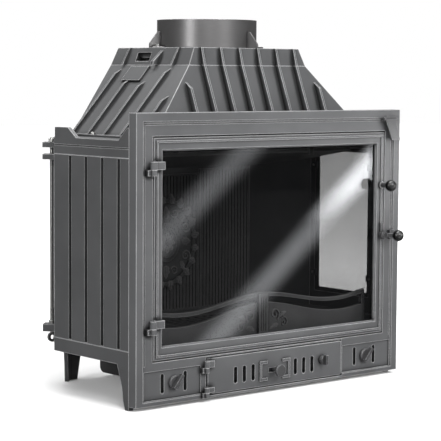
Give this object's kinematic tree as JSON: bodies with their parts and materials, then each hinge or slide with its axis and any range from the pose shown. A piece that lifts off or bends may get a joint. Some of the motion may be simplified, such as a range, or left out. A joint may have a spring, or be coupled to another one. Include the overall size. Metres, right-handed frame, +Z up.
{
  "type": "fireplace insert",
  "caption": "Cast-iron wood-burning fireplace insert with a glazed door, a side window, a ribbed smoke hood and a round flue collar.",
  "frame": {"origin": "on the floor under the middle of the whole, the plane of the foot soles", "axes": "+Z up along the flue, +X to the right as seen from the front, +Y from the glazed front to the back"},
  "size_m": [0.7, 0.41, 0.742],
  "materials": {
    "cast_iron": "sand-cast grey iron under matt graphite stove paint",
    "front_cast_iron": "finely cast grey iron under satin graphite stove paint",
    "lining_iron": "raw dark iron, matt",
    "collar_steel": "rolled sheet steel, satin dark grey paint",
    "box_steel": "sheet steel, matt dark grey paint",
    "bare_steel": "zinc-plated steel, lightly brushed",
    "blackened_steel": "steel with satin black paint",
    "black_phenolic": "glossy black heat-proof resin",
    "ceramic_glass": "clear glass ceramic with a faint grey tint",
    "rope_seal": "braided glass-fibre rope, dark grey"
  },
  "bodies": {
    "firebox": {"base_casting": "cast_iron", "left_side_panel": "cast_iron", "rear_left_panel": "cast_iron", "rear_right_panel": "cast_iron", "back_panel": "cast_iron", "right_window_frame": "cast_iron", "top_plate": "cast_iron", "hood_lower": "cast_iron", "hood_upper": "cast_iron", "front_frame": "front_cast_iron", "log_guard": "front_cast_iron", "fireback_centre": "lining_iron", "fireback_left": "lining_iron", "fireback_right": "lining_iron", "left_lining": "lining_iron", "hearth_plates": "lining_iron", "grate": "lining_iron", "baffle": "lining_iron", "baffle_brackets": "lining_iron", "damper_rails": "lining_iron", "flue_collar": "collar_steel", "ash_box": "box_steel", "ash_pan": "box_steel", "frame_cleats": "box_steel", "window_clips": "box_steel", "tie_rods": "bare_steel", "tie_rod_nuts": "bare_steel", "hood_bolts": "bare_steel", "collar_bolts": "bare_steel", "frame_bolts": "bare_steel", "window_screws": "bare_steel", "door_hinge_pins": "blackened_steel", "latch_keeper": "blackened_steel", "ash_hinge_pins": "blackened_steel", "window_glass": "ceramic_glass", "window_seal": "rope_seal"},
    "front_door": {"door_frame": "front_cast_iron", "door_glass": "ceramic_glass", "door_seal": "rope_seal", "glass_clips": "box_steel", "clip_screws": "bare_steel", "pull_knob": "black_phenolic", "pull_knob_stem": "blackened_steel", "latch_stud": "blackened_steel"},
    "door_latch": {"latch_lever": "blackened_steel", "latch_ball": "black_phenolic"},
    "ash_flap": {"ash_door": "front_cast_iron"},
    "ash_catch": {"ash_latch_knob": "blackened_steel", "ash_latch_cam": "box_steel"},
    "air_slider": {"air_slider_plate": "box_steel", "air_slider_knob": "blackened_steel"},
    "left_regulator": {"left_regulator_knob": "blackened_steel", "left_regulator_shutter": "box_steel"},
    "right_regulator": {"right_regulator_knob": "blackened_steel", "right_regulator_shutter": "box_steel"},
    "throat_damper": {"damper_plate": "lining_iron", "damper_rod": "blackened_steel", "damper_tab": "blackened_steel"}
  },
  "joints": [
    {"name": "front_door_hinge", "type": "hinge", "parent": "firebox", "child": "front_door", "pos_m": [-0.314, -0.168, 0.303], "axis": [0, 0, -1], "range_deg": [0, 110]},
    {"name": "door_latch_turn", "type": "hinge", "parent": "front_door", "child": "door_latch", "pos_m": [0.299, -0.167, 0.298], "axis": [0, 1, 0], "range_deg": [0, 90]},
    {"name": "ash_door_hinge", "type": "hinge", "parent": "firebox", "child": "ash_flap", "pos_m": [-0.18, -0.166, 0.0495], "axis": [0, 0, -1], "range_deg": [0, 110]},
    {"name": "ash_catch_turn", "type": "hinge", "parent": "ash_flap", "child": "ash_catch", "pos_m": [0.13, -0.166, 0.052], "axis": [0, 1, 0], "range_deg": [0, 90]},
    {"name": "air_slider_slide", "type": "slide", "parent": "ash_flap", "child": "air_slider", "axis": [1, 0, 0], "range_m": [-0.0115, 0.0115]},
    {"name": "left_regulator_turn", "type": "hinge", "parent": "firebox", "child": "left_regulator", "pos_m": [-0.256, -0.155, 0.0475], "axis": [0, 1, 0], "range_deg": [0, 90]},
    {"name": "right_regulator_turn", "type": "hinge", "parent": "firebox", "child": "right_regulator", "pos_m": [0.256, -0.155, 0.0475], "axis": [0, 1, 0], "range_deg": [0, 90]},
    {"name": "damper_slide", "type": "slide", "parent": "firebox", "child": "throat_damper", "axis": [0, -1, 0], "range_m": [0, 0.075]}
  ]
}
